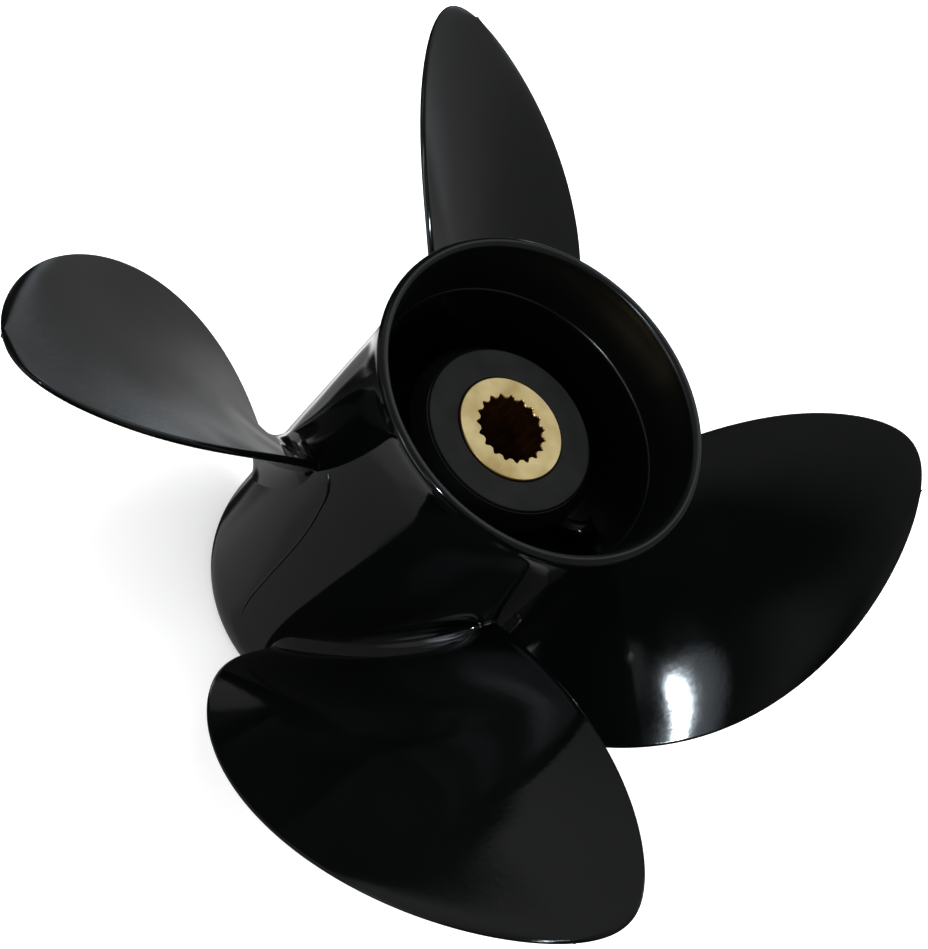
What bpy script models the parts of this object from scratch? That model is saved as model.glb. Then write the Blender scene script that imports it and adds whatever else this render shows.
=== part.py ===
"""Four-blade through-hub-exhaust propeller for an outboard or sterndrive leg.

Metres, +Z up. The shaft axis is Z, the fore end stands on Z = 0 and the
exhaust mouth faces up. Turns clockwise seen from above (right-hand).
"""
import math

import bmesh
import bpy
from mathutils import Vector

# Main sizes
HUB_LENGTH = 0.1774          # fore end face to the top of the lip
TIP_RADIUS = 0.18265         # blade tips, 365 mm over the tips
BASE_RADIUS = 0.0548         # where the blade formula starts, inside the barrel
GAP = 0.0003                 # clearance between neighbouring pieces
BLADE_COUNT = 4
RIB_COUNT = 4
RIB_START = -33.0            # degrees from +X, first exhaust rib

# Barrel, outer wall as (height, radius) from the fore end up
BARREL_OUTER = (
    (0.0, 0.0570), (0.0008, 0.0580), (0.0028, 0.0590), (0.0070, 0.0600),
    (0.0130, 0.0605), (0.0300, 0.0605), (0.0740, 0.0602), (0.0935, 0.0598),
    (0.1226, 0.0593), (0.1380, 0.0591), (0.1484, 0.0592), (0.1560, 0.0596),
    (0.1630, 0.0605), (0.1690, 0.0616), (0.1730, 0.0628), (0.1748, 0.0635),
    (0.1757, 0.0637))
BARREL_LIP = ((0.1767, 0.0633), (0.1773, 0.0625), (0.1774, 0.0617), (0.1771, 0.0608), (0.1764, 0.0601))
MOUTH_INNER = ((0.1753, 0.0597), (0.1700, 0.0586), (0.1620, 0.0571), (0.1546, 0.0559))
STEP_HEIGHT = 0.1538         # small ledge inside the mouth
STEP_RADIUS = 0.0556
STEP_DEPTH = 0.0010
DUCT_RADIUS = 0.0551         # inner wall of the barrel below the ledge
DUCT_FORE_RADIUS = 0.0547
DUCT_TAPER_TOP = 0.0800      # below this height the duct narrows to its fore radius

# Inner hub, bush and sleeve
INNER_HUB_OUTER = 0.0368
INNER_HUB_NOSE = 0.0330      # radius where the aft end's bevel starts
INNER_HUB_INNER = 0.0323
INNER_HUB_FORE = 0.0220
INNER_HUB_SHOULDER = 0.1440
INNER_HUB_AFT = 0.1497
BUSH_RADIUS = 0.0320
BUSH_BORE = 0.0208
BUSH_FORE = 0.0260
BUSH_AFT = 0.1504
SLEEVE_RADIUS = 0.0205
SLEEVE_FORE = 0.0160
SLEEVE_AFT = 0.1509
SPLINES = 19
SPLINE_ROOT = 0.0135
SPLINE_CREST = 0.0122
SPLINE_PHASES = (0.06, 0.44, 0.58, 0.92)      # corners of one spline along its pitch, root then crest

# Ribs between the barrel and the inner hub
RIB_THICKNESS = 0.0064
RIB_FORE = 0.0300
RIB_AFT = 0.1140

# Blade, in terms of s = 0 at BASE_RADIUS and 1 at the tip
UNIT = 0.0645                # length that the blade's factors are given in
HALF_CHORD = (0.3674, 1.9583, -2.5522, 3.2256, -1.8367)
MID_CHORD = (0.5353, 1.7956, -2.6433, 3.4065, -2.2607)
RAKE = (-0.7549, 0.8350, 0.0151)
PITCH = (9.4895, -3.8863, 3.0243)
CAMBER = -0.0223
TIP_POWER = 2.5
THICKNESS = ((0.0, 0.0112), (0.12, 0.0095), (0.35, 0.0066), (0.7, 0.0048), (1.0, 0.0034))
LEAD_EDGE = ((0.0, 0.0017), (0.6, 0.0014), (1.0, 0.0011))       # radius of the rounded leading edge
TRAIL_EDGE = ((0.0, 0.0016), (0.5, 0.0013), (1.0, 0.0010))      # half thickness of the blunt trailing edge
AFT_SHARE = 0.40
ROOT_FILLET = 0.0090
EDGE_FILLET = 0.35           # share of the fillet that is left at the blade's two edges
CHORD_FLARE = 0.35           # share of the fillet that lengthens the root section
SLIM_LIMIT = 0.35            # thickness may grow by this share of the half chord near the tip
SOLVE_ROUNDS = 12            # passes that settle a skin point on the barrel's curve
ROOT_SPANS = (0.0, 0.010, 0.028, 0.066)
SPAN_ROWS = 12
LAST_SPAN = 0.9975
NEAR_EDGE = 0.985            # extra column just inside the leading edge
CHORD_COLUMNS = 11
CAP_STRIPS = 5
ROUND_SEGMENTS = 72


def clear_scene():
    for item in list(bpy.data.objects):
        bpy.data.objects.remove(item, do_unlink=True)


def polynomial(factors, s):
    return sum(factor * s ** power for power, factor in enumerate(factors))


def interpolate(table, height):
    """Linear reading of a table of (height, radius) pairs."""
    if height <= table[0][0]:
        return table[0][1]
    for (z0, r0), (z1, r1) in zip(table, table[1:]):
        if height <= z1:
            return r0 + (r1 - r0) * (height - z0) / (z1 - z0)
    return table[-1][1]


def new_material(name, colour, roughness, metallic):
    material = bpy.data.materials.new(name)
    material.use_nodes = True
    shader = material.node_tree.nodes["Principled BSDF"]
    shader.inputs["Base Color"].default_value = (*colour, 1.0)
    shader.inputs["Roughness"].default_value = roughness
    shader.inputs["Metallic"].default_value = metallic
    return material


def new_object(name, points, faces, material, smooth_angle=math.radians(35)):
    mesh = bpy.data.meshes.new(name)
    mesh.from_pydata([tuple(point) for point in points], [], faces)
    mesh.validate()
    work = bmesh.new()
    work.from_mesh(mesh)
    bmesh.ops.recalc_face_normals(work, faces=work.faces)
    work.to_mesh(mesh)
    work.free()
    for face in mesh.polygons:
        face.use_smooth = True
    mesh.set_sharp_from_angle(angle=smooth_angle)
    mesh.materials.append(material)
    item = bpy.data.objects.new(name, mesh)
    bpy.context.scene.collection.objects.link(item)
    return item


def revolve(name, profile, material, segments=ROUND_SEGMENTS):
    """Turns a closed (radius, height) profile about Z."""
    points = []
    for index in range(segments):
        angle = 2 * math.pi * index / segments
        for radius, height in profile:
            points.append((radius * math.cos(angle), radius * math.sin(angle), height))
    count = len(profile)
    faces = []
    for index in range(segments):
        following = (index + 1) % segments
        for step in range(count):
            after = (step + 1) % count
            faces.append((index * count + step, following * count + step,
                          following * count + after, index * count + after))
    return new_object(name, points, faces, material)


def make_barrel(material):
    profile = [(radius, height) for height, radius in BARREL_OUTER + BARREL_LIP + MOUTH_INNER]
    profile += [(STEP_RADIUS, STEP_HEIGHT), (DUCT_RADIUS, STEP_HEIGHT - STEP_DEPTH)]
    profile += [(DUCT_RADIUS, DUCT_TAPER_TOP), (DUCT_FORE_RADIUS, 0.0)]
    return revolve("hub_barrel", profile, material)


def make_inner_hub(material):
    edge = 0.0008
    profile = [(INNER_HUB_OUTER - edge, INNER_HUB_FORE), (INNER_HUB_OUTER, INNER_HUB_FORE + edge),
               (INNER_HUB_OUTER, INNER_HUB_SHOULDER - edge), (INNER_HUB_OUTER - edge / 2, INNER_HUB_SHOULDER),
               (INNER_HUB_NOSE, INNER_HUB_AFT), (INNER_HUB_INNER, INNER_HUB_AFT),
               (INNER_HUB_INNER, INNER_HUB_FORE)]
    return revolve("inner_hub", profile, material)


def make_bush(material):
    edge = 0.0008
    profile = [(BUSH_RADIUS - edge, BUSH_FORE), (BUSH_RADIUS, BUSH_FORE + edge),
               (BUSH_RADIUS, BUSH_AFT - edge), (BUSH_RADIUS - edge, BUSH_AFT),
               (BUSH_BORE, BUSH_AFT), (BUSH_BORE, BUSH_FORE)]
    return revolve("rubber_bush", profile, material)


def make_sleeve(material):
    """Turned sleeve with straight-sided internal splines."""
    per_spline = len(SPLINE_PHASES)
    count = SPLINES * per_spline
    inner = []
    outer = []
    for index in range(count):
        phase = index % per_spline
        tooth = index // per_spline
        pitch = 2 * math.pi / SPLINES
        angle = pitch * (tooth + SPLINE_PHASES[phase])
        radius = SPLINE_ROOT if phase < 2 else SPLINE_CREST
        inner.append((radius * math.cos(angle), radius * math.sin(angle)))
        outer.append((SLEEVE_RADIUS * math.cos(angle), SLEEVE_RADIUS * math.sin(angle)))
    points = []
    for height in (SLEEVE_FORE, SLEEVE_AFT):
        points += [(x, y, height) for x, y in outer]
        points += [(x, y, height) for x, y in inner]
    faces = []
    for index in range(count):
        after = (index + 1) % count
        low_out, low_in, high_out, high_in = 0, count, 2 * count, 3 * count
        faces.append((low_out + index, low_out + after, high_out + after, high_out + index))
        faces.append((low_in + index, high_in + index, high_in + after, low_in + after))
        faces.append((high_out + index, high_out + after, high_in + after, high_in + index))
        faces.append((low_out + index, low_in + index, low_in + after, low_out + after))
    return new_object("splined_sleeve", points, faces, material)


def make_rib(number, material):
    """Radial web with curved ends that follow the two walls at the clearance."""
    angle = math.radians(RIB_START + 360.0 / RIB_COUNT * (number - 1))
    half = RIB_THICKNESS / 2
    strips = 2
    outline = []
    for step in range(strips + 1):
        side = -half + 2 * half * step / strips
        radius = INNER_HUB_OUTER + GAP
        outline.append((math.sqrt(radius ** 2 - side ** 2), side))
    for step in range(strips, -1, -1):
        side = -half + 2 * half * step / strips
        radius = DUCT_RADIUS * math.cos(math.pi / ROUND_SEGMENTS) - GAP
        outline.append((math.sqrt(radius ** 2 - side ** 2), side))
    points = []
    for height in (RIB_FORE, RIB_AFT):
        shrink = 0.0
        if height == RIB_FORE:
            taper = ((0.0, DUCT_FORE_RADIUS), (DUCT_TAPER_TOP, DUCT_RADIUS))
            shrink = DUCT_RADIUS - interpolate(taper, height)
        for index, (along, side) in enumerate(outline):
            reach = along - (shrink if index > strips else 0.0)
            points.append((reach * math.cos(angle) - side * math.sin(angle),
                           reach * math.sin(angle) + side * math.cos(angle), height))
    count = len(outline)
    faces = [tuple(range(count)), tuple(range(count, 2 * count))]
    for index in range(count):
        after = (index + 1) % count
        faces.append((index, after, count + after, count + index))
    return new_object(f"exhaust_rib_{number}", points, faces, material)


def half_chord(s):
    return UNIT * polynomial(HALF_CHORD, s) * math.sqrt(max(0.0, 1.0 - s ** TIP_POWER))


def mid_chord(s):
    return UNIT * polynomial(MID_CHORD, s)


def blade_height(s, arc, radius):
    """Height of the mean surface above the fore end."""
    rake = UNIT * polynomial(RAKE, s)
    slope = UNIT * polynomial(PITCH, s) / (2 * math.pi * radius)
    return HUB_LENGTH + rake - arc * slope + CAMBER * arc ** 2 / UNIT


def blade_half_thickness(s, across):
    """Half of the thickness at a span s and a place across the chord, -1 trailing to 1 leading."""
    span = TIP_RADIUS - BASE_RADIUS
    left = (1 - s) * span
    edge = interpolate(LEAD_EDGE if across > 0 else TRAIL_EDGE, s)
    thin = edge * math.sqrt(max(0.0, 1 - max(0.0, 1 - left / edge) ** 2))
    reach = half_chord(s)
    whole = min(interpolate(THICKNESS, s) / 2, thin + SLIM_LIMIT * reach)
    body = thin + max(0.0, whole - thin) * max(0.0, 1 - across ** 2)
    if across <= 0:
        return body
    step = 0.002
    slope = (reach - half_chord(max(0.0, s - step))) / (step * span)
    inside = reach * (1 - across) / math.sqrt(1 + slope ** 2)
    if inside >= edge:
        return body
    return body * math.sqrt(max(0.0, 1 - (1 - inside / edge) ** 2))


def fillet_width(clear, across):
    """Extra half thickness of the root fillet at a clearance from the barrel."""
    size = ROOT_FILLET * (1 - (1 - EDGE_FILLET) * across ** 8)
    if clear >= size:
        return 0.0
    return size - math.sqrt(size ** 2 - (size - clear) ** 2)


def blade_point(span, across, side):
    """Point of the blade skin; span 0 lies on the barrel, side is +1 aft or -1 fore."""
    radius = BASE_RADIUS + 0.006
    height = 0.0
    arc = 0.0
    shift = 0.0
    for _ in range(SOLVE_ROUNDS):
        s = (radius - BASE_RADIUS) / (TIP_RADIUS - BASE_RADIUS)
        s = min(max(s, 0.0), 1.0)
        barrel = interpolate(BARREL_OUTER, height) + GAP
        extra = fillet_width(max(0.0, radius - barrel), across)
        arc = mid_chord(s) + half_chord(s) * across + CHORD_FLARE * extra * across
        slope = UNIT * polynomial(PITCH, s) / (2 * math.pi * radius)
        lean = math.sqrt(1 + slope ** 2)
        share = AFT_SHARE if side > 0 else 1 - AFT_SHARE
        lens = max(0.0, 1 - across ** 2)
        bias = 1 + (2 * share - 1) * lens
        flare = extra * (1 - max(0.0, across) ** 4)
        push = side * (blade_half_thickness(s, across) * bias + flare)
        height = blade_height(s, arc, radius) + push / lean
        shift = push * slope / lean
        root = interpolate(BARREL_OUTER, height) + GAP
        radius = root + span * (TIP_RADIUS - root)
    return radius, arc + shift, height


def place(radius, arc, height, turn):
    angle = turn - arc / radius
    return (radius * math.cos(angle), radius * math.sin(angle), height)


def make_blade(number, material):
    """Skin of rings from the barrel to the tip; each ring runs aft from the trailing edge and back fore."""
    turn = -math.radians(360.0 / BLADE_COUNT) * (number - 1)
    spans = list(ROOT_SPANS)
    start = ROOT_SPANS[-1]
    for row in range(1, SPAN_ROWS + 1):
        eased = 1 - (1 - row / SPAN_ROWS) ** 1.9
        spans.append(start + (LAST_SPAN - start) * eased)
    middle = (CHORD_COLUMNS - 1) / 2
    columns = [math.sin(math.pi / 2 * (index / middle - 1)) for index in range(CHORD_COLUMNS)]
    columns.insert(-1, NEAR_EDGE)
    wide = len(columns)
    rows = []
    points = []
    for span in spans:
        ring = [place(*blade_point(span, across, 1), turn) for across in columns]
        for index in range(wide - 2, -1, -1):
            ring.append(place(*blade_point(span, columns[index], -1), turn))
        rows.append(list(range(len(points), len(points) + len(ring))))
        points += ring
    tip = len(points)
    tip_arc = mid_chord(1.0)
    points.append(place(TIP_RADIUS, tip_arc, blade_height(1.0, tip_arc, TIP_RADIUS), turn))
    faces = []
    around = len(rows[0])
    for low, high in zip(rows, rows[1:]):
        for index in range(around):
            after = (index + 1) % around
            faces.append((low[index], low[after], high[after], high[index]))
    for index in range(around):
        faces.append((rows[-1][index], rows[-1][(index + 1) % around], tip))
    # The foot follows the barrel in strips from the aft skin to the fore skin
    foot = rows[0]
    strips = [foot[:wide]]
    for step in range(1, CAP_STRIPS):
        line = []
        for index in range(wide - 1):
            aft = Vector(points[foot[index]])
            fore = Vector(points[foot[around - 1 - index]])
            spot = aft.lerp(fore, step / CAP_STRIPS)
            stretch = (interpolate(BARREL_OUTER, spot.z) + GAP) / math.hypot(spot.x, spot.y)
            line.append(len(points))
            points.append((spot.x * stretch, spot.y * stretch, spot.z))
        strips.append(line + [foot[wide - 1]])
    strips.append([foot[around - 1 - index] for index in range(wide - 1)] + [foot[wide - 1]])
    for first, second in zip(strips, strips[1:]):
        for index in range(wide - 1):
            face = [first[index], first[index + 1], second[index + 1], second[index]]
            faces.append(tuple(dict.fromkeys(face)))
    # The foot closes against the flat trailing edge
    faces.append(tuple(strip[0] for strip in strips))
    return new_object(f"blade_{number}", points, faces, material)


def main():
    clear_scene()
    paint = new_material("gloss_black_paint", (0.012, 0.013, 0.014), 0.12, 0.0)
    duct_paint = new_material("duct_black_paint", (0.010, 0.011, 0.011), 0.30, 0.0)
    rubber = new_material("bush_rubber", (0.020, 0.021, 0.021), 0.75, 0.0)
    brass = new_material("sleeve_brass", (0.62, 0.47, 0.22), 0.32, 1.0)
    make_barrel(paint)
    for number in range(1, BLADE_COUNT + 1):
        make_blade(number, paint)
    make_inner_hub(duct_paint)
    for number in range(1, RIB_COUNT + 1):
        make_rib(number, duct_paint)
    make_bush(rubber)
    make_sleeve(brass)


main()
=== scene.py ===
import math

import bmesh
import bpy
import numpy as np
from mathutils import Matrix, Vector


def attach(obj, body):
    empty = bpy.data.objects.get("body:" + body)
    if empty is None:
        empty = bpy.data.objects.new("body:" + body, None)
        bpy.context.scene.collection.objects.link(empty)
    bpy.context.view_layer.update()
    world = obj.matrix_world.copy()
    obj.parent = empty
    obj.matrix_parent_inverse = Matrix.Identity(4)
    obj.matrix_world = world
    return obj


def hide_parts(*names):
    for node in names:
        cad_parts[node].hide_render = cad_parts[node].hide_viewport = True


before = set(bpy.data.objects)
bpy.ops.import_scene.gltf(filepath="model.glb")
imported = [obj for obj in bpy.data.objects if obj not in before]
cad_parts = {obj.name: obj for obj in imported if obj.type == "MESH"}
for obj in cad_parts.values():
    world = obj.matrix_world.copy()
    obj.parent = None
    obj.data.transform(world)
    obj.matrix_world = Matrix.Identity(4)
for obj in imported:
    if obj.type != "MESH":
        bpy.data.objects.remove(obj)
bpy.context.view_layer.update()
print("frame loaded")


# small tools used by every piece

weldReach = 0.000002      # metres within which doubled points are joined


def clearSelection():
    if bpy.context.object and bpy.context.object.mode != "OBJECT":
        bpy.ops.object.mode_set(mode="OBJECT")
    bpy.ops.object.select_all(action="DESELECT")


def makeActive(piece):
    clearSelection()
    piece.select_set(True)
    bpy.context.view_layer.objects.active = piece


def selectOpenEdges(piece):
    bpy.ops.mesh.select_all(action="DESELECT")
    bm = bmesh.from_edit_mesh(piece.data)
    for edge in bm.edges:
        edge.select = edge.is_boundary
    bmesh.update_edit_mesh(piece.data)


def finishMesh(sharp):
    # normals outwards, then back to object mode with the sharp edges kept
    bpy.ops.mesh.select_all(action="SELECT")
    bpy.ops.mesh.normals_make_consistent(inside=False)
    bpy.ops.object.mode_set(mode="OBJECT")
    bpy.ops.object.shade_smooth_by_angle(angle=math.radians(sharp))


def polyAt(factors, s):
    return sum(f * s ** i for i, f in enumerate(factors))


# camera, solved from the rim, bore, barrel and blade outlines in the photo
cameraPlan = {
    "location": (-0.365661, -0.196899, 0.633637),
    "rotation": (0.5036704, -0.4684492, -0.3850345),
    "lens": 67.919, "sensor": 36, "clip": (0.02, 40),
    "shift": (0.004433, -0.005923),
}


def placeCamera(plan):
    data = bpy.data.cameras.new("photoCamera")
    data.sensor_width = plan["sensor"]
    data.lens = plan["lens"]
    data.shift_x, data.shift_y = plan["shift"]
    data.clip_start, data.clip_end = plan["clip"]
    camera = bpy.data.objects.new("photoCamera", data)
    bpy.context.scene.collection.objects.link(camera)
    camera.location = plan["location"]
    camera.rotation_euler = plan["rotation"]
    bpy.context.scene.camera = camera


placeCamera(cameraPlan)
print("camera placed")


# paints, rubber and brass

def startMaterial(name):
    material = bpy.data.materials.new(name)
    material.use_nodes = True
    tree = material.node_tree
    shader = tree.nodes["Principled BSDF"]
    where = tree.nodes.new("ShaderNodeTexCoord")
    return material, tree, shader, where.outputs["Object"]


def addNoise(tree, where, scale, detail, rough=0.5):
    noise = tree.nodes.new("ShaderNodeTexNoise")
    noise.inputs["Scale"].default_value = scale
    noise.inputs["Detail"].default_value = detail
    noise.inputs["Roughness"].default_value = rough
    tree.links.new(where, noise.inputs["Vector"])
    return noise.outputs["Fac"]


def addRange(tree, value, low, high, fromLow=0.3, fromHigh=0.7):
    node = tree.nodes.new("ShaderNodeMapRange")
    node.inputs["From Min"].default_value = fromLow
    node.inputs["From Max"].default_value = fromHigh
    node.inputs["To Min"].default_value = low
    node.inputs["To Max"].default_value = high
    tree.links.new(value, node.inputs["Value"])
    return node.outputs["Result"]


def addBump(tree, shader, height, strength, distance, before=None):
    node = tree.nodes.new("ShaderNodeBump")
    node.inputs["Strength"].default_value = strength
    node.inputs["Distance"].default_value = distance
    tree.links.new(height, node.inputs["Height"])
    if before:
        tree.links.new(before, node.inputs["Normal"])
    tree.links.new(node.outputs["Normal"], shader.inputs["Normal"])
    return node.outputs["Normal"]


def addMix(tree, factor, first, second):
    node = tree.nodes.new("ShaderNodeMix")
    node.data_type = "RGBA"
    node.inputs["A"].default_value = (*first, 1)
    node.inputs["B"].default_value = (*second, 1)
    tree.links.new(factor, node.inputs["Factor"])
    return node.outputs["Result"]


def addMath(tree, kind, first, second):
    node = tree.nodes.new("ShaderNodeMath")
    node.operation = kind
    for socket, value in zip(node.inputs, (first, second)):
        if isinstance(value, (int, float)):
            socket.default_value = value
        else:
            tree.links.new(value, socket)
    return node.outputs["Value"]


def addAxisDistance(tree, where):
    split = tree.nodes.new("ShaderNodeSeparateXYZ")
    join = tree.nodes.new("ShaderNodeCombineXYZ")
    length = tree.nodes.new("ShaderNodeVectorMath")
    length.operation = "LENGTH"
    tree.links.new(where, split.inputs[0])
    tree.links.new(split.outputs["X"], join.inputs["X"])
    tree.links.new(split.outputs["Y"], join.inputs["Y"])
    tree.links.new(join.outputs[0], length.inputs[0])
    return length.outputs["Value"], split.outputs["Z"]


def addBlend(tree, factor, first, second):
    node = tree.nodes.new("ShaderNodeMix")
    for socket, value in ((node.inputs["A"], first), (node.inputs["B"], second)):
        if isinstance(value, (int, float)):
            socket.default_value = value
        else:
            tree.links.new(value, socket)
    tree.links.new(factor, node.inputs["Factor"])
    return node.outputs["Result"]


paintPlan = {
    "dark": (0.0006, 0.0009, 0.0008), "light": (0.0011, 0.0014, 0.0013),
    "cloudScale": 18, "smearScale": 55, "gloss": (0.055, 0.09),
    "peelScale": 420, "peelDepth": 0.000010, "waveScale": 26, "waveDepth": 0.00018,
    "inside": 0.25,                       # the mouth's inner wall is less glossy
    "wallFoot": 0.0577, "wallLean": 0.193, "wallHeight": 0.1546, "wallSoft": 0.0005,
}


def glossBlackPaint(plan):
    material, tree, shader, where = startMaterial("glossBlackPaint")
    cloud = addNoise(tree, where, plan["cloudScale"], 4)
    colour = addMix(tree, addRange(tree, cloud, 0, 1), plan["dark"], plan["light"])
    tree.links.new(colour, shader.inputs["Base Color"])
    smear = addRange(tree, addNoise(tree, where, plan["smearScale"], 5, 0.6), *plan["gloss"])
    # the middle of the barrel's wall parts the outside from the inside
    away, height = addAxisDistance(tree, where)
    above = addMath(tree, "SUBTRACT", height, plan["wallHeight"])
    middle = addMath(tree, "ADD", addMath(tree, "MULTIPLY", above, plan["wallLean"]), plan["wallFoot"])
    soft = plan["wallSoft"]
    middle = addMath(tree, "MAXIMUM", middle, plan["wallFoot"] - soft)
    outside = addRange(tree, addMath(tree, "SUBTRACT", away, middle), 0, 1, -soft, soft)
    tree.links.new(addBlend(tree, outside, plan["inside"], smear), shader.inputs["Roughness"])
    wave = addNoise(tree, where, plan["waveScale"], 1.5, 0.4)
    first = addBump(tree, shader, wave, 1.0, plan["waveDepth"])
    peel = addNoise(tree, where, plan["peelScale"], 2, 0.5)
    addBump(tree, shader, peel, 1.0, plan["peelDepth"], first)
    return material


ductPlan = {
    "name": "ductBlackPaint",
    "dark": (0.0010, 0.0012, 0.0011), "light": (0.0018, 0.0020, 0.0019), "cloudScale": 30,
    "gloss": (0.12, 0.20), "shine": 0.45, "grainScale": 900, "grainForce": 0.5, "grainDepth": 0.00003,
}

rubberPlan = {
    "name": "bushRubber",
    "dark": (0.0052, 0.0055, 0.0055), "light": (0.0098, 0.0100, 0.0098), "cloudScale": 60,
    "gloss": (0.60, 0.85), "shine": 0.15, "grainScale": 1300, "grainForce": 0.6, "grainDepth": 0.00008,
}


def grainyFinish(plan):
    material, tree, shader, where = startMaterial(plan["name"])
    cloud = addNoise(tree, where, plan["cloudScale"], 5)
    colour = addMix(tree, addRange(tree, cloud, 0, 1), plan["dark"], plan["light"])
    tree.links.new(colour, shader.inputs["Base Color"])
    tree.links.new(addRange(tree, cloud, *plan["gloss"]), shader.inputs["Roughness"])
    grain = addNoise(tree, where, plan["grainScale"], 4, 0.6)
    addBump(tree, shader, grain, plan["grainForce"], plan["grainDepth"])
    shader.inputs["Specular IOR Level"].default_value = plan["shine"]
    return material


brassPlan = {
    # the third colour, dark red-brown, is painted shade and painted dark reflection for the bore and
    # chamfers
    "pale": (0.91, 0.69, 0.33), "deep": (0.76, 0.54, 0.22), "paintedShadeBrown": (0.30, 0.12, 0.035),
    "cloudScale": 90, "gloss": (0.26, 0.42), "toolScale": 1500, "toolForce": 0.6, "toolDepth": 0.00002,
    "faceHeight": 0.1509, "faceEdge": 0.00005, "paintedShadeDepth": 0.0005,
}


def sleeveBrass(plan):
    material, tree, shader, where = startMaterial("sleeveBrass")
    cloud = addNoise(tree, where, plan["cloudScale"], 5)
    colour = addMix(tree, addRange(tree, cloud, 0, 1), plan["pale"], plan["deep"])
    # only the turned end face keeps the brass colour; bore and chamfers are painted dark red-brown, a
    # painted shade and painted dark reflection
    away, height = addAxisDistance(tree, where)
    top = plan["faceHeight"]
    face = addRange(tree, height, 0, 1, top - plan["paintedShadeDepth"], top - plan["faceEdge"])
    tone = addMix(tree, face, plan["paintedShadeBrown"], plan["paintedShadeBrown"])
    tree.links.new(colour, tone.node.inputs["B"])
    tree.links.new(tone, shader.inputs["Base Color"])
    tree.links.new(addRange(tree, cloud, *plan["gloss"]), shader.inputs["Roughness"])
    # concentric tool marks from the distance to the shaft axis
    rings = tree.nodes.new("ShaderNodeTexNoise")
    rings.noise_dimensions = "1D"
    rings.inputs["Scale"].default_value = plan["toolScale"]
    tree.links.new(away, rings.inputs["W"])
    addBump(tree, shader, rings.outputs["Fac"], plan["toolForce"], plan["toolDepth"])
    shader.inputs["Metallic"].default_value = 1.0
    return material


paint = glossBlackPaint(paintPlan)
duct = grainyFinish(ductPlan)
rubber = grainyFinish(rubberPlan)
brass = sleeveBrass(brassPlan)
print("finishes made")


# turned pieces: a ring primitive is drawn along its profile by extrudes

def turnPiece(name, profile, steps, material, nodes, sharp=35):
    clearSelection()
    radius, height = profile[0]      # profile is a closed list of (radius, height)
    bpy.ops.mesh.primitive_circle_add(vertices=steps, radius=radius, location=(0, 0, height),
                                      fill_type="NOTHING")
    piece = bpy.context.object
    piece.name = piece.data.name = name
    bpy.ops.object.transform_apply(location=True, rotation=True, scale=True)
    bpy.ops.object.mode_set(mode="EDIT")
    bpy.ops.mesh.select_mode(type="VERT")
    bpy.ops.mesh.select_all(action="SELECT")
    for after, level in profile[1:]:
        bpy.ops.mesh.extrude_region_move(TRANSFORM_OT_translate={"value": (0, 0, level - height)})
        grow = after / radius
        bpy.ops.transform.resize(value=(grow, grow, 1), center_override=(0, 0, level))
        radius, height = after, level
    bm = bmesh.from_edit_mesh(piece.data)
    bm.verts.ensure_lookup_table()
    total = len(bm.verts)
    for vert in bm.verts:
        vert.select = vert.index < steps or vert.index >= total - steps
    for edge in bm.edges:
        ends = [v.index for v in edge.verts]
        edge.select = max(ends) < steps or min(ends) >= total - steps
    bmesh.update_edit_mesh(piece.data)
    bpy.ops.mesh.bridge_edge_loops()
    finishMesh(sharp)
    dressPiece(piece, material, nodes)


def dressPiece(piece, material, nodes):
    piece.data.materials.clear()
    piece.data.materials.append(material)
    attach(piece, "root")
    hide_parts(*nodes)


def arcPoints(centre, radius, startDeg, endDeg, count):
    made = []
    for i in range(count):
        a = math.radians(startDeg + (endDeg - startDeg) * i / (count - 1))
        made.append((centre[0] + radius * math.cos(a), centre[1] + radius * math.sin(a)))
    return made


barrelPlan = {
    "outer": ((0.0130, 0.0605), (0.0300, 0.0605), (0.0740, 0.0602), (0.0935, 0.0598), (0.1226, 0.0593),
              (0.1380, 0.0591), (0.1484, 0.0592), (0.1560, 0.0596), (0.1630, 0.0605), (0.1690, 0.0616),
              (0.1730, 0.0628), (0.1748, 0.0635)),
    "noseRadius": 0.0570, "noseLand": 0.0002, "noseDeep": 0.0035, "noseLong": 0.0130,
    "lipCentre": (0.0617, 0.17535), "lipRound": 0.00205,
    "mouth": ((0.05955, 0.1740), (0.0592, 0.1725), (0.0587, 0.1700), (0.0578, 0.1655), (0.0569, 0.1605),
              (0.0561, 0.1562), (0.05575, 0.1545)),
    "ledge": ((0.05565, 0.1541), (0.0554, 0.15385), (0.0552, 0.1536), (0.0551, 0.1530)),
    "duct": ((0.05505, 0.1500), (0.0550, 0.1200), (0.0549, 0.0800), (0.0548, 0.0400), (0.0546, 0.0020),
             (0.0548, 0.0)),
    "steps": 192, "outerRows": 70, "sharp": 30,
}


def smoothTable(table, count):
    # evenly read points along a table of (height, radius), rounded by a natural spline
    z = np.array([row[0] for row in table])
    r = np.array([row[1] for row in table])
    h = np.diff(z)
    n = len(z)
    a = np.zeros((n, n))
    b = np.zeros(n)
    a[0, 0] = a[-1, -1] = 1
    for i in range(1, n - 1):
        a[i, i - 1:i + 2] = h[i - 1], 2 * (h[i - 1] + h[i]), h[i]
        b[i] = 6 * ((r[i + 1] - r[i]) / h[i] - (r[i] - r[i - 1]) / h[i - 1])
    bend = np.linalg.solve(a, b)
    out = np.linspace(z[0], z[-1], count)
    i = np.clip(np.searchsorted(z, out) - 1, 0, n - 2)
    t0, t1 = z[i + 1] - out, out - z[i]
    values = (bend[i] * t0 ** 3 + bend[i + 1] * t1 ** 3) / (6 * h[i])
    values += (r[i] / h[i] - bend[i] * h[i] / 6) * t0 + (r[i + 1] / h[i] - bend[i + 1] * h[i] / 6) * t1
    return out, values


barrelHeights, barrelRadii = smoothTable(barrelPlan["outer"], barrelPlan["outerRows"])


def barrelRadius(height):
    return np.interp(height, barrelHeights, barrelRadii)


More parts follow.
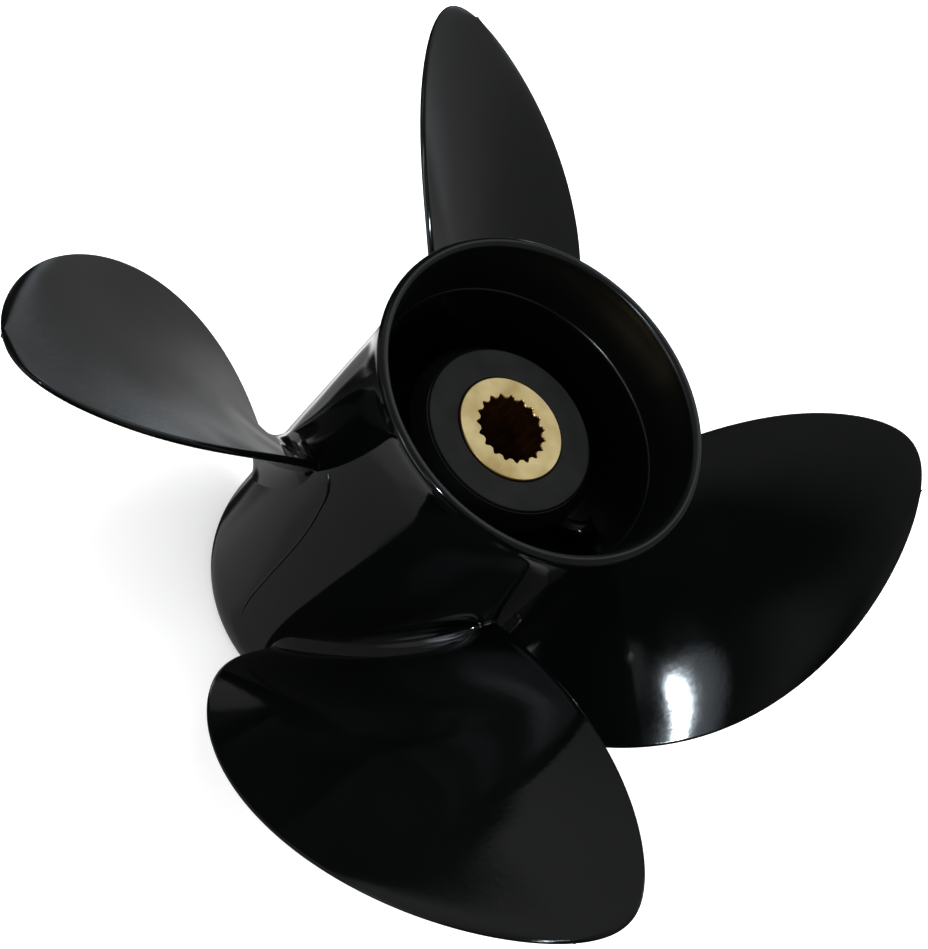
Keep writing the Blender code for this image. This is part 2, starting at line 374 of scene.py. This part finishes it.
def makeBarrel(plan):
    nose = [(plan["noseRadius"] + plan["noseLand"], 0.0)]
    for turn in range(10, 90, 10):
        a = math.radians(turn)
        radius = plan["noseRadius"] + plan["noseDeep"] * math.sin(a)
        nose.append((radius, plan["noseLong"] * (1 - math.cos(a))))
    wall = list(zip(barrelRadii, barrelHeights))
    lip = arcPoints(plan["lipCentre"], plan["lipRound"], 0, 180, 15)
    profile = nose + wall + lip + list(plan["mouth"] + plan["ledge"] + plan["duct"])
    turnPiece("barrel", profile, plan["steps"], paint, ["hub_barrel"], plan["sharp"])


makeBarrel(barrelPlan)
print("barrel turned")


# blades: a grid primitive is rolled into a sleeve and led along the blade's sections

bladePlan = {
    "unit": 0.0645, "hubLength": 0.1774, "tipRadius": 0.18265, "baseRadius": 0.0548,
    "halfChord": (0.3674, 1.9583, -2.5522, 3.2256, -1.8367),
    "midChord": (0.5353, 1.7956, -2.6433, 3.4065, -2.2607),
    "rake": (-0.7549, 0.8350, 0.0151), "pitch": (9.4895, -3.8863, 3.0243),
    "camber": -0.0223, "tipPower": 2.5,
    "thickness": ((0.0, 0.0112), (0.12, 0.0095), (0.35, 0.0066), (0.7, 0.0048), (1.0, 0.0034)),
    "leadEdge": ((0.0, 0.0017), (0.6, 0.0014), (1.0, 0.0010)),
    "trailEdge": ((0.0, 0.0016), (0.5, 0.0013), (1.0, 0.0010)),
    "trailBox": ((0, 0.5), (0.86, 0.5), (0.985, 1)),      # 1 rounds the trailing edge, less makes it blunt
    "aftShare": 0.40, "slimLimit": 0.35,
    "fillet": 0.0090, "edgeFillet": 0.12, "filletPower": 6, "sink": 0.0004,
    "faceColumns": 44, "noseColumns": 13, "filletRows": 14, "spanRows": 84, "rowPower": 2.2,
    "lastRow": 0.99992, "startHeight": 0.07, "solveRounds": 16, "slopeStep": 0.001,
    "count": 4, "sharp": 50,
}


def readTable(table, s):
    return np.interp(s, [row[0] for row in table], [row[1] for row in table])


def halfChord(plan, s):
    return plan["unit"] * polyAt(plan["halfChord"], s) * np.sqrt(np.clip(1 - s ** plan["tipPower"], 0, 1))


def sectionPlan(plan):
    # (across, turn of the rounded edge, side) round one section
    c, n = plan["faceColumns"], plan["noseColumns"]
    face = np.sin(np.linspace(-math.pi / 2, math.pi / 2, c))
    turns = np.linspace(90, -90, n)[1:-1]
    ring = [(a, 0.0, 1) for a in face] + [(1.0, t, 2) for t in turns]
    ring += [(a, 0.0, -1) for a in face[::-1]] + [(-1.0, t, 3) for t in -turns]
    across, turn, side = np.array(ring).T
    return across, np.radians(turn), side


def bladeSkin(plan, clear, share):
    # clear is metres off the barrel, share adds a part of the way to the tip
    across, turn, side = sectionPlan(plan)
    span = plan["tipRadius"] - plan["baseRadius"]
    clear, share = clear[:, None], share[:, None]
    nose = side > 1
    fillet = plan["fillet"] * (1 - (1 - plan["edgeFillet"]) * across ** plan["filletPower"])
    step = plan["slopeStep"]
    height = np.full((len(clear), len(across)), plan["startHeight"])
    for _ in range(plan["solveRounds"]):      # root radius and height depend on each other
        root = barrelRadius(height) - plan["sink"]
        start = root + clear
        radius = start + share * (plan["tipRadius"] - start)
        s = np.clip((radius - plan["baseRadius"]) / span, 0, 1)
        box = np.where(side == 3, readTable(plan["trailBox"], s), 1.0)
        turnCos = np.cos(turn) ** box
        turnSin = np.sign(np.sin(turn)) * np.abs(np.sin(turn)) ** box
        reach = halfChord(plan, s)
        slopeIn = (reach - halfChord(plan, np.clip(s - step, 0, 1))) / (step * span)
        left = (1 - s) * span
        edge = np.where(across > 0, readTable(plan["leadEdge"], s), readTable(plan["trailEdge"], s))
        edgeThick = edge * np.sqrt(np.clip(1 - np.clip(1 - left / edge, 0, 1) ** 2, 0, 1))
        edgeLong = np.minimum(edge * np.sqrt(1 + slopeIn ** 2), reach * 0.999)
        rest = np.clip(fillet - (radius - root), 0, fillet)
        extra = fillet - np.sqrt(fillet ** 2 - rest ** 2)
        whole = readTable(plan["thickness"], s) / 2
        whole = np.minimum(whole, edgeThick + plan["slimLimit"] * reach)
        lens = np.clip(1 - across ** 2, 0, 1)
        body = edgeThick + np.clip(whole - edgeThick, 0, 1) * lens
        bias = np.where(side > 0, plan["aftShare"], 1 - plan["aftShare"]) * 2
        bias = 1 + (bias - 1) * lens
        out = np.where(side == 2, 1.0, -1.0)
        along = across * (reach - edgeLong) + np.where(nose, out * (edgeLong + extra) * turnCos, 0)
        push = np.where(side == 1, 1.0, -1.0) * (body * bias + extra)
        push = np.where(nose, (edgeThick + extra) * turnSin, push)
        arc = plan["unit"] * polyAt(plan["midChord"], s) + along
        slope = plan["unit"] * polyAt(plan["pitch"], s) / (2 * math.pi * radius)
        lean = np.sqrt(1 + slope ** 2)
        centre = plan["hubLength"] + plan["unit"] * polyAt(plan["rake"], s)
        centre = centre - arc * slope + plan["camber"] * arc ** 2 / plan["unit"]
        height = centre + push / lean
        arc = arc + push * slope / lean
    return np.stack([radius * np.cos(-arc / radius), radius * np.sin(-arc / radius), height], 2)


def bladePoints(plan):
    turn = math.pi / 2 * np.arange(plan["filletRows"]) / plan["filletRows"]
    part = 1 - (1 - np.arange(plan["spanRows"]) / plan["spanRows"]) ** plan["rowPower"]
    clear = np.append(plan["fillet"] * (1 - np.cos(turn)), np.full(plan["spanRows"], plan["fillet"]))
    share = np.append(np.zeros(plan["filletRows"]), np.minimum(part, plan["lastRow"]))
    return bladeSkin(plan, clear, share)


def makeBlade(plan):
    points = bladePoints(plan)
    rows, around = points.shape[:2]
    clearSelection()
    bpy.ops.mesh.primitive_grid_add(x_subdivisions=around, y_subdivisions=rows - 1, size=2)
    piece = bpy.context.object
    # the grid is rolled into a sleeve: its columns go round the section, its rows out along the blade
    coords = np.empty(len(piece.data.vertices) * 3)
    piece.data.vertices.foreach_get("co", coords)
    coords = coords.reshape(-1, 3)
    column = np.rint((coords[:, 0] + 1) / 2 * around).astype(int) % around
    row = np.rint((coords[:, 1] + 1) / 2 * (rows - 1)).astype(int)
    piece.data.vertices.foreach_set("co", points[row, column].ravel())
    piece.data.update()
    bpy.ops.object.mode_set(mode="EDIT")
    bpy.ops.mesh.select_mode(type="VERT")
    bpy.ops.mesh.select_all(action="SELECT")
    bpy.ops.mesh.remove_doubles(threshold=weldReach)
    for _ in range(2):               # root and tip
        selectOpenEdges(piece)
        bpy.ops.mesh.edge_face_add()
    finishMesh(plan["sharp"])
    return piece


def placeBlades(plan):
    first = makeBlade(plan)
    first.name = first.data.name = "blade-1"
    made = [first]
    for number in range(2, plan["count"] + 1):
        clearSelection()
        twin = first.copy()
        twin.data = first.data.copy()
        twin.name = twin.data.name = f"blade-{number}"
        bpy.context.scene.collection.objects.link(twin)
        makeActive(twin)
        twin.rotation_euler = (0, 0, -math.pi / 2 * (number - 1))
        bpy.ops.object.transform_apply(location=True, rotation=True, scale=True)
        made.append(twin)
    for number, piece in enumerate(made, 1):
        dressPiece(piece, paint, [f"blade_{number}"])


placeBlades(bladePlan)
print("blades shaped")


# the casting's parting line on the barrel, from each trailing root to the next leading root

seamPlan = {
    # degrees round the shaft and height in metres, beside blade 1
    "path": ((-5.0, 0.1195), (-2.2, 0.1188), (-0.5, 0.1170), (1.3, 0.1130), (2.7, 0.1060), (4.3, 0.0980),
             (5.6, 0.0850), (6.1, 0.0700), (6.4, 0.0550), (7.0, 0.0350), (8.2, 0.0260), (9.5, 0.0230)),
    "round": 0.00050, "foot": 0.00090, "sink": 0.00010, "steps": 90, "sides": 8,
    "cornerRounds": 6, "sharp": 60,
    # lengths along the path, in degrees and millimetres taken together, and shares of the round
    "footLong": 8, "neckLong": 14, "neck": 1.5, "tailLong": 6, "tail": 0.3,
}


def makeSeams(plan):
    knots = np.array(plan["path"])
    run = np.append(0, np.cumsum(np.hypot(np.diff(knots[:, 0]), np.diff(knots[:, 1]) * 1000)))
    read = np.linspace(0, run[-1], plan["steps"])
    turn = np.radians(np.interp(read, run, knots[:, 0]))
    height = np.interp(read, run, knots[:, 1])
    for _ in range(plan["cornerRounds"]):
        turn[1:-1] = (turn[:-2] + turn[1:-1] + turn[2:]) / 3
        height[1:-1] = (height[:-2] + height[1:-1] + height[2:]) / 3
    radius = barrelRadius(height) - plan["sink"]
    line = np.stack([radius * np.cos(turn), radius * np.sin(turn), height], 1)
    outward = np.stack([np.cos(turn), np.sin(turn), 0 * turn], 1)
    ahead = np.gradient(line, axis=0)
    ahead /= np.linalg.norm(ahead, axis=1)[:, None]
    beside = np.cross(ahead, outward)
    # thick at the trailing root, fading out at the far end
    marks = (0, plan["footLong"], plan["neckLong"], read[-1] - plan["tailLong"], read[-1])
    taper = np.interp(read, marks, (plan["foot"] / plan["round"], plan["neck"], 1, 1, plan["tail"]))
    for number in range(bladePlan["count"]):
        clearSelection()
        bpy.ops.mesh.primitive_cylinder_add(vertices=plan["sides"], radius=plan["round"],
                                            depth=plan["steps"] - 1, end_fill_type="NGON")
        piece = bpy.context.object
        piece.name = piece.data.name = f"castingSeam-{number + 1}"
        bpy.ops.object.mode_set(mode="EDIT")
        bpy.ops.mesh.select_mode(type="EDGE")
        bpy.ops.mesh.select_all(action="DESELECT")
        bm = bmesh.from_edit_mesh(piece.data)
        for edge in bm.edges:
            edge.select = abs(edge.verts[0].co.z - edge.verts[1].co.z) > 1
        bmesh.update_edit_mesh(piece.data)
        bpy.ops.mesh.subdivide(number_cuts=plan["steps"] - 2)
        bpy.ops.object.mode_set(mode="OBJECT")
        for vert in piece.data.vertices:
            row = int(round(vert.co.z + (plan["steps"] - 1) / 2))
            vert.co = line[row] + (outward[row] * vert.co.x + beside[row] * vert.co.y) * taper[row]
        makeActive(piece)
        piece.rotation_euler = (0, 0, -math.pi / 2 * number)
        bpy.ops.object.transform_apply(location=True, rotation=True, scale=True)
        bpy.ops.object.mode_set(mode="EDIT")
        finishMesh(plan["sharp"])
        piece.data.materials.append(duct)
        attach(piece, "root")


makeSeams(seamPlan)
print("seams drawn")


# inside the mouth: inner hub, ribs, bush, sleeve

innerPlan = {
    "outer": 0.0368, "inner": 0.0322, "fore": 0.0220, "foreRound": 0.0014,
    "middle": 0.0900, "shoulder": 0.1434, "shoulderRound": 0.0016, "coneTurn": 29.2, "boreAft": 0.1490,
    "land": ((0.0331, 0.1492), (0.0329, 0.1495), (0.0326, 0.1496), (0.0323, 0.1494)),
    "steps": 144,
}


def makeInnerHub(plan):
    o, i, f, q = plan["outer"], plan["inner"], plan["fore"], plan["foreRound"]
    profile = [(i, f), (o - q, f)] + arcPoints((o - q, f + q), q, -90, 0, 5)[1:] + [(o, plan["middle"])]
    r = plan["shoulderRound"]
    profile += arcPoints((o - r, plan["shoulder"]), r, 0, plan["coneTurn"], 5)
    profile += list(plan["land"]) + [(i, plan["boreAft"])]
    turnPiece("innerHub", profile, plan["steps"], duct, ["inner_hub"])


bushPlan = {
    "outer": 0.0321, "bore": 0.0206, "fore": 0.0260, "aft": 0.1504,
    "foreEdge": 0.001, "aftEdge": 0.0004,
    # radius and depth below the aft face, inwards to the bore
    "face": ((0.0300, 0), (0.0260, 0), (0.0222, 0), (0.0211, 0.0002), (0.0208, 0.0006), (0.0206, 0.0012)),
    "steps": 144,
}


def makeBush(plan):
    outer, bore, fore, aft = plan["outer"], plan["bore"], plan["fore"], plan["aft"]
    bevel, edge = plan["foreEdge"], plan["aftEdge"]
    profile = [(bore, fore), (outer - bevel, fore), (outer, fore + bevel), (outer, aft - 3 * edge)]
    profile += arcPoints((outer - edge, aft - edge), edge, 5, 85, 5)
    profile += [(radius, aft - depth) for radius, depth in plan["face"]]
    turnPiece("rubberBush", profile, plan["steps"], rubber, ["rubber_bush"])


makeInnerHub(innerPlan)
makeBush(bushPlan)

sleevePlan = {
    "outer": 0.0205, "root": 0.0136, "crest": 0.0122, "fore": 0.0160, "aft": 0.1509, "splines": 19,
    "chamfer": 0.0004, "outerRings": (0.85, 1.3), "boreRings": (1.6, 1.0), "sharp": 30,      # in chamfers
    # one spline in 12 steps: 0 at the crest, 1 at the root
    "tooth": (0, 0, 0.08, 0.32, 0.65, 0.92, 1.0, 0.92, 0.65, 0.32, 0.08, 0),
}


def makeSleeve(plan):
    # outer wall turned by extrudes, bore drawn spline by spline
    per = len(plan["tooth"])
    steps = plan["splines"] * per
    clearSelection()
    bpy.ops.mesh.primitive_circle_add(vertices=steps, radius=plan["outer"], location=(0, 0, plan["fore"]),
                                      fill_type="NOTHING")
    piece = bpy.context.object
    piece.name = piece.data.name = "splinedSleeve"
    bpy.ops.object.transform_apply(location=True, rotation=True, scale=True)
    q, top = plan["chamfer"], plan["aft"]
    wall = np.full(steps, plan["outer"])
    deep = plan["root"] - plan["crest"]
    bore = np.array([plan["crest"] + deep * plan["tooth"][i % per] for i in range(steps)])
    levels = [(wall, top - q)]
    levels += [(wall - q * ring, top) for ring in plan["outerRings"]]
    levels += [(bore + q * ring, top) for ring in plan["boreRings"]]
    levels += [(bore, top - q), (bore, plan["fore"])]
    bpy.ops.object.mode_set(mode="EDIT")
    bpy.ops.mesh.select_mode(type="VERT")
    bpy.ops.mesh.select_all(action="SELECT")
    height = plan["fore"]
    for radii, level in levels:
        bpy.ops.mesh.extrude_region_move(TRANSFORM_OT_translate={"value": (0, 0, level - height)})
        height = level
        bm = bmesh.from_edit_mesh(piece.data)
        for vert in [v for v in bm.verts if v.select]:
            angle = math.atan2(vert.co.y, vert.co.x) % (2 * math.pi)
            reach = radii[int(round(angle / (2 * math.pi) * steps)) % steps]
            vert.co.x = reach * math.cos(angle)
            vert.co.y = reach * math.sin(angle)
        bmesh.update_edit_mesh(piece.data)
    selectOpenEdges(piece)
    bpy.ops.mesh.bridge_edge_loops()
    finishMesh(plan["sharp"])
    dressPiece(piece, brass, ["splined_sleeve"])


makeSleeve(sleevePlan)

ribPlan = {
    "start": -33, "count": 4, "thick": 0.0064, "fore": 0.0300, "aft": 0.1140, "dip": 0.0025,
    "inner": 0.0362, "outer": 0.0556,
    "flare": 0.0040, "flareUp": 0.0025, "innerFlareLong": 0.0070, "outerFlareLong": 0.0050,
    "rows": 17, "columns": 24, "sharp": 40,
}


def selectOneOpening(piece):
    # the first open edge and all that join on to it
    bpy.ops.mesh.select_all(action="DESELECT")
    bm = bmesh.from_edit_mesh(piece.data)
    start = next((e for e in bm.edges if e.is_boundary), None)
    if start is None:
        return False
    seen = {start}
    grow = [start]
    while grow:
        for vert in grow.pop().verts:
            fresh = [e for e in vert.link_edges if e.is_boundary and e not in seen]
            seen.update(fresh)
            grow += fresh
    for edge in seen:
        edge.select = True
    bmesh.update_edit_mesh(piece.data)
    return True


def makeRibs(plan):
    rows, columns = plan["rows"], plan["columns"]
    inner, outer = plan["inner"], plan["outer"]
    for number in range(plan["count"]):
        clearSelection()
        bpy.ops.mesh.primitive_grid_add(x_subdivisions=rows - 1, y_subdivisions=columns, size=2)
        piece = bpy.context.object
        piece.name = piece.data.name = f"exhaustRib-{number + 1}"
        angle = math.radians(plan["start"] + 360 / plan["count"] * number)
        radial = Vector((math.cos(angle), math.sin(angle), 0))
        sideways = Vector((-math.sin(angle), math.cos(angle), 0))
        for vert in piece.data.vertices:
            along = (vert.co.x + 1) / 2
            turn = int(round((vert.co.y + 1) / 2 * columns)) % columns / columns
            reach = inner + (outer - inner) * along
            nearIn = max(0.0, 1 - (reach - inner) / plan["innerFlareLong"])
            nearOut = max(0.0, 1 - (outer - reach) / plan["outerFlareLong"])
            flare = 1 - math.sqrt(max(0.0, 1 - nearIn ** 2)) + 1 - math.sqrt(max(0.0, 1 - nearOut ** 2))
            half = plan["thick"] / 2 + plan["flare"] * flare
            # stadium section: flat sides with a rounded aft edge
            if turn <= 0.5:
                a = math.pi * (turn / 0.5)
                side, lift = half * math.cos(a), plan["thick"] / 2 * math.sin(a)
                saddle = plan["dip"] * 4 * along * (1 - along) - plan["flareUp"] * flare
                height = plan["aft"] - plan["thick"] / 2 - saddle + lift
            else:
                share = (turn - 0.5) / 0.5
                side, height = -half + 2 * half * share, plan["fore"]
            place = radial * math.sqrt(max(reach ** 2 - side ** 2, 0)) + sideways * side
            vert.co = (place.x, place.y, height)
        piece.data.update()
        bpy.ops.object.mode_set(mode="EDIT")
        bpy.ops.mesh.select_mode(type="VERT")
        bpy.ops.mesh.select_all(action="SELECT")
        bpy.ops.mesh.remove_doubles(threshold=weldReach)
        for _ in range(2):               # inner and outer end
            if selectOneOpening(piece):
                bpy.ops.mesh.edge_face_add()
        finishMesh(plan["sharp"])
        dressPiece(piece, duct, [f"exhaust_rib_{number + 1}"])


makeRibs(ribPlan)
print("inner pieces made")


# floor, studio and lamps

floorPlan = {"size": 14, "drop": 0.0005, "white": (0.94, 0.94, 0.94), "rough": 0.9, "lit": 0.35}

studioPlan = {
    "fill": 1.22, "base": 0.177,
    "cool": (0.90, 1.0, 1.11), "coolAbove": 0.45, "coolFrom": -12,      # the bright walls are a little blue
    # soft cards and dark gaps of the studio, fitted to the reflections in the photo, later ones in front:
    # azimuth, elevation, full and faded angle in degrees, brightness
    "cards": (
        (48.1, 15.7, 39.4, 67.7, 0.329),
        (38.1, 2.9, 1.7, 39.0, 1.529),
        (21.8, -19.3, 19.0, 24.2, 0.232),
        (61.9, 26.3, 24.1, 27.4, 0.042),
        (82.3, -6.4, 34.4, 37.3, 0.024),
        (-93.0, -3.7, 67.0, 72.6, 0.014),
        (-43.9, -28.0, 29.5, 35.1, 0.026),
        (198.6, -19.2, 20.0, 22.5, 0.113),
        (116.3, -71.5, 19.2, 21.7, 0.229),
        (-51.1, 32.0, 38.6, 51.2, 0.186),
        (-153.4, 45.5, 4.7, 20.8, 0.005),
        (174.6, 10.4, 9.7, 18.3, 0.438),
        (60.6, -26.1, 2.0, 18.4, 1.304),
        (91.0, -41.2, 10.1, 18.3, 0.004),
        (60.5, -21.5, 13.0, 15.5, 0.138),
        (-176.9, 21.7, 7.2, 16.9, 3.663),
        (25.5, -5.7, 18.6, 23.3, 0.221),
        (61.6, -40.3, 10.7, 17.7, 1.584),
        (67.6, -42.9, 9.9, 13.1, 0.221),
        (26.3, -19.2, 7.9, 15.7, 0.169),
        (68.2, -60.4, 4.4, 7.7, 0.014),
        (-168.8, 27.2, 13.4, 15.9, 0.280),
        (54.0, -28.5, 7.4, 10.0, 0.004),
        (59.6, -29.8, 8.0, 10.6, 0.040),
        (50.6, -39.8, 5.9, 8.4, 0.004),
        (149.8, 18.9, 1.5, 10.4, 0.731),
        (-170.8, 14.4, 1.5, 13.2, 1.640),
        (28.0, 49.0, 8.0, 22.0, 0.750),      # lights the brass face
        (-160.5, 51.0, 1.0, 7.0, 1.200),     # glow beside the lamp
    ),
    "lamps": (
        {"name": "spotLamp", "toward": (-0.635, -0.178, 0.752), "from": (0.0790, -0.1000, 0.0812),
         "far": 1.1, "size": (0.110, 0.038), "long": (0.084, 0.022, 0.076), "watts": 2.6,
         "tint": (0.80, 0.92, 1.0), "gleam": True},
        {"name": "floorLamp", "toward": (0.25, 0.35, 0.90), "from": (0, 0, 0),
         "far": 2.6, "size": (2.2, 2.2), "long": (1, 0, 0), "watts": 60.0,
         "tint": (1, 1, 1), "gleam": False},
    ),
}


def makeFloor(plan):
    clearSelection()
    bpy.ops.mesh.primitive_plane_add(size=plan["size"], location=(0, 0, -plan["drop"]))
    floor = bpy.context.object
    floor.name = "paleFloor"
    material, _, shader, _ = startMaterial("paleFloor")
    shader.inputs["Base Color"].default_value = (*plan["white"], 1)
    shader.inputs["Roughness"].default_value = plan["rough"]
    shader.inputs["Emission Color"].default_value = (1, 1, 1, 1)      # the sweep is lit from behind as well
    shader.inputs["Emission Strength"].default_value = plan["lit"]
    floor.data.materials.append(material)
    floor.visible_glossy = False      # the gloss reads the studio's cards instead


def aim(azimuth, elevation):
    a, e = math.radians(azimuth), math.radians(elevation)
    return math.cos(a) * math.cos(e), math.sin(a) * math.cos(e), math.sin(e)


def makeStudio(plan):
    world = bpy.data.worlds.new("studio")
    world.use_nodes = True
    tree = world.node_tree
    background = tree.nodes["Background"]
    where = tree.nodes.new("ShaderNodeTexCoord").outputs["Generated"]
    before = None
    for azimuth, elevation, full, faded, bright in plan["cards"]:
        dot = tree.nodes.new("ShaderNodeVectorMath")
        dot.operation = "DOT_PRODUCT"
        dot.inputs[1].default_value = aim(azimuth, elevation)
        tree.links.new(where, dot.inputs[0])
        mask = tree.nodes.new("ShaderNodeMapRange")
        mask.interpolation_type = "SMOOTHSTEP"
        mask.inputs["From Min"].default_value = math.cos(math.radians(faded))
        mask.inputs["From Max"].default_value = math.cos(math.radians(full))
        tree.links.new(dot.outputs["Value"], mask.inputs["Value"])
        cool = plan["cool"] if bright > plan["coolAbove"] and elevation > plan["coolFrom"] else (1, 1, 1)
        level = addMix(tree, mask.outputs["Result"], [plan["base"]] * 3, [bright * share for share in cool])
        if before:
            tree.links.new(before, level.node.inputs["A"])
        before = level
    rays = tree.nodes.new("ShaderNodeLightPath")
    pick = addMix(tree, rays.outputs["Is Glossy Ray"], [plan["fill"]] * 3, (1, 1, 1))
    tree.links.new(before, pick.node.inputs["B"])
    tree.links.new(pick, background.inputs["Color"])
    bpy.context.scene.world = world
    for lamp in plan["lamps"]:
        data = bpy.data.lights.new(lamp["name"], "AREA")
        data.shape = "ELLIPSE"
        data.energy = lamp["watts"]
        data.color = lamp["tint"]
        data.size, data.size_y = lamp["size"]
        item = bpy.data.objects.new(lamp["name"], data)
        way = Vector(lamp["toward"]).normalized()
        item.location = Vector(lamp["from"]) + way * lamp["far"]
        # the lamp's long side lies along the plan's vector, its face looks back at the part
        longSide = Vector(lamp["long"])
        longSide = (longSide - longSide.dot(way) * way).normalized()
        item.rotation_euler = Matrix((longSide, way.cross(longSide), way)).transposed().to_euler()
        item.visible_glossy = lamp["gleam"]
        item.visible_diffuse = not lamp["gleam"]
        bpy.context.scene.collection.objects.link(item)
    bpy.context.scene.view_settings.view_transform = "Standard"


makeFloor(floorPlan)
makeStudio(studioPlan)
print("floor and studio set")
